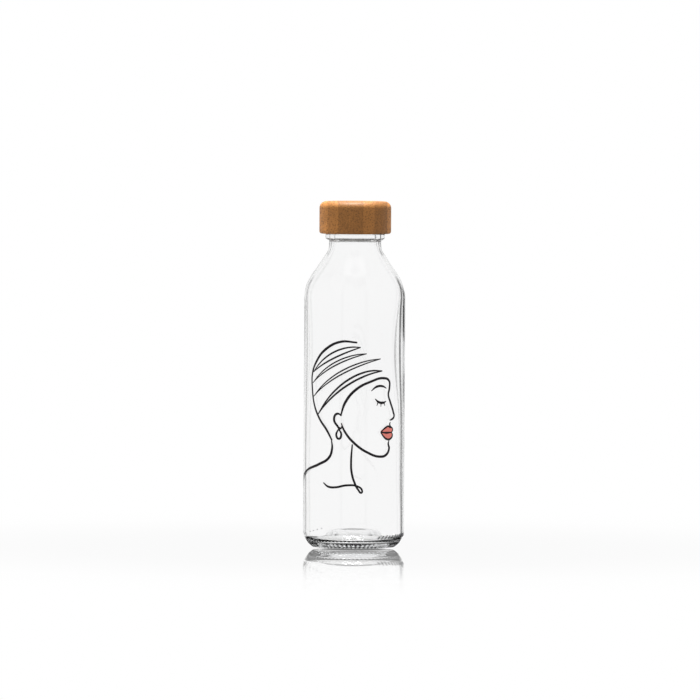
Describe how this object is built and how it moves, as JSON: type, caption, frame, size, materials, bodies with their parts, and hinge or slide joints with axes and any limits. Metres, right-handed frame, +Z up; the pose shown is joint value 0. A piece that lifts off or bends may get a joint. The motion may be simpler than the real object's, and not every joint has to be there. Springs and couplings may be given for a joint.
{
  "type": "glass water bottle",
  "caption": "Clear glass water bottle with a straight body, sloped shoulder, knurled base ring and a bamboo screw cap with a threaded plastic liner and silicone seal.",
  "frame": {"origin": "centre of the bottle's base, on the plane that it stands on", "axes": "+Z up along the bottle's axis; -Y is the printed front; +X is the bottle's right as seen from the front"},
  "size_m": [0.074, 0.074, 0.2525],
  "materials": {
    "clear_glass": "fire-polished clear soda-lime glass",
    "bamboo": "laminated carbonised bamboo, turned, sanded and oiled",
    "liner_plastic": "moulded natural polypropylene",
    "silicone": "translucent white food-grade silicone",
    "print_black": "fired black enamel print",
    "print_coral": "fired coral enamel print"
  },
  "bodies": {
    "bottle": {"glass_bottle": "clear_glass"},
    "seal": {"seal_ring": "silicone"},
    "cap": {"bamboo_shell": "bamboo", "threaded_liner": "liner_plastic"}
  },
  "joints": [
    {"name": "cap_rise", "type": "slide", "parent": "bottle", "child": "seal", "axis": [0, 0, 1], "range_m": [0, 0.0211]},
    {"name": "cap_turn", "type": "hinge", "parent": "seal", "child": "cap", "pos_m": [0, 0, 0.24], "axis": [0, 0, 1], "range_deg": [0, 1800]}
  ],
  "couplings": [
    {"joint": "cap_rise", "follows": "cap_turn", "m_per_rad": 0.00066845}
  ]
}
